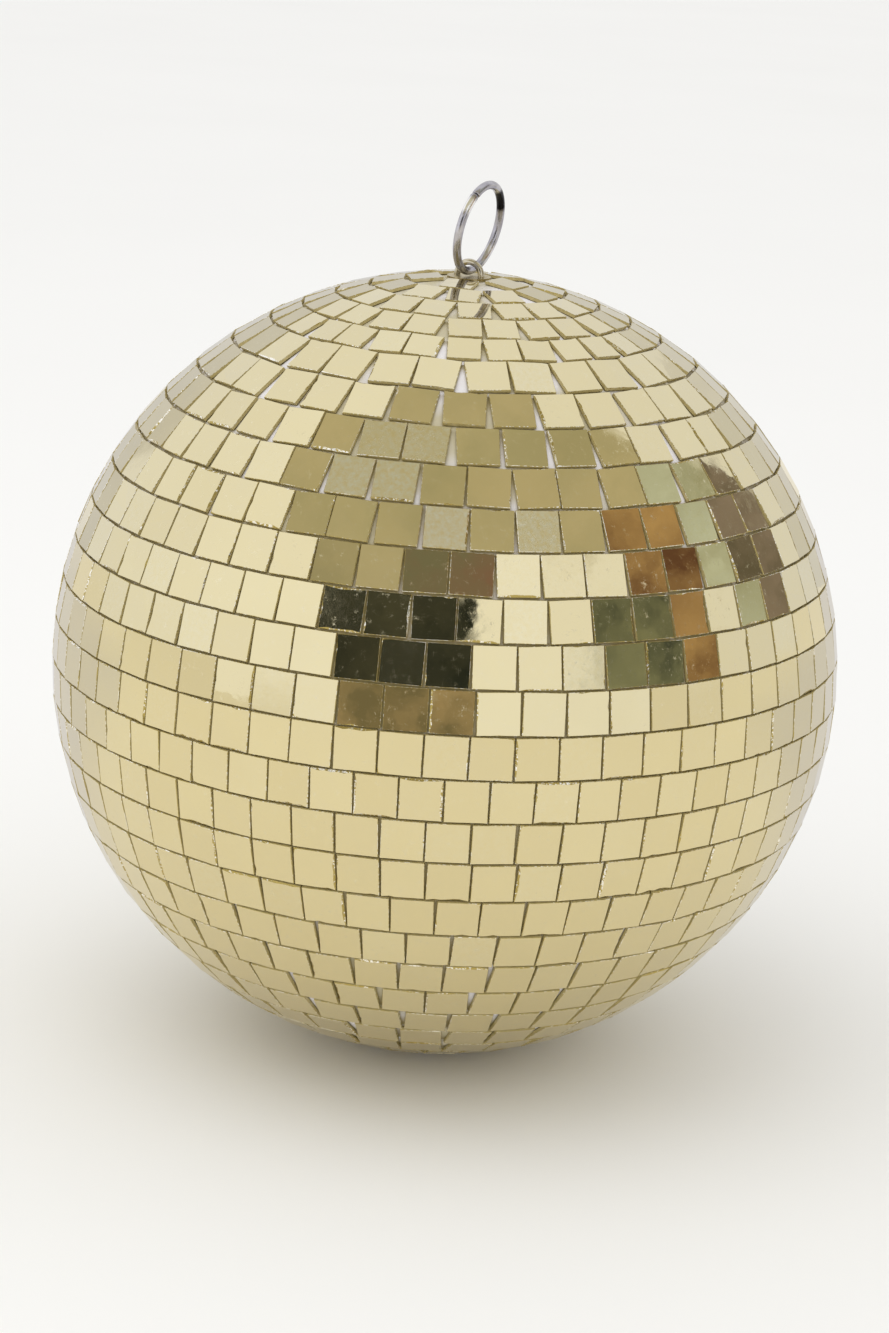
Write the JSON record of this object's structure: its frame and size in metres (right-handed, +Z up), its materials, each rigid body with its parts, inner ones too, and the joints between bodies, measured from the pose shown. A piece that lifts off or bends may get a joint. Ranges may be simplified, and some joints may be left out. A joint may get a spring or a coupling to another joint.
{
  "type": "mirror ball",
  "caption": "Hollow ball covered in rows of square pale gold mirror tiles, hung by a wire ring that swings in an eyelet at its upper pole.",
  "frame": {"origin": "centre of the ball", "axes": "+Z up through the poles to the hanging ring; +Y along the pivot on which the ball swings in the ring, so the ring stands over the pivot, leaning 10 degrees from +Z towards +X"},
  "size_m": [0.2006, 0.2006, 0.2238],
  "materials": {
    "tile_mirror": "pale gold mirrored glass, cut edges",
    "core_plastic": "matt moulded",
    "ring_chrome": "bright chrome on drawn wire",
    "eyelet_steel": "nickel-plated wire",
    "plug_brass": "satin brass",
    "plate_steel": "zinc-plated"
  },
  "bodies": {
    "ring": {"hanging_ring": "ring_chrome"},
    "ball": {"eyelet": "eyelet_steel", "pole_plug": "plug_brass", "anchor_plate": "plate_steel", "upper_core": "core_plastic", "lower_core": "core_plastic", "pole_tile": "tile_mirror", "tile_row_01": "tile_mirror", "tile_row_02": "tile_mirror", "tile_row_03": "tile_mirror", "tile_row_04": "tile_mirror", "tile_row_05": "tile_mirror", "tile_row_06": "tile_mirror", "tile_row_07": "tile_mirror", "tile_row_08": "tile_mirror", "tile_row_09": "tile_mirror", "tile_row_10": "tile_mirror", "tile_row_11": "tile_mirror", "tile_row_12": "tile_mirror", "tile_row_13": "tile_mirror", "tile_row_14": "tile_mirror", "tile_row_15": "tile_mirror", "tile_row_16": "tile_mirror", "tile_row_17": "tile_mirror", "tile_row_18": "tile_mirror", "tile_row_19": "tile_mirror", "tile_row_20": "tile_mirror", "tile_row_21": "tile_mirror", "tile_row_22": "tile_mirror", "tile_row_23": "tile_mirror", "tile_row_24": "tile_mirror", "tile_row_25": "tile_mirror", "tile_row_26": "tile_mirror", "tile_row_27": "tile_mirror", "tile_row_28": "tile_mirror", "tile_row_29": "tile_mirror", "tile_row_30": "tile_mirror"}
  },
  "joints": [
    {"name": "ring_swing", "type": "hinge", "parent": "ring", "child": "ball", "pos_m": [0, 0, 0.10115], "axis": [0, 1, 0], "range_deg": [-80, 100]}
  ]
}
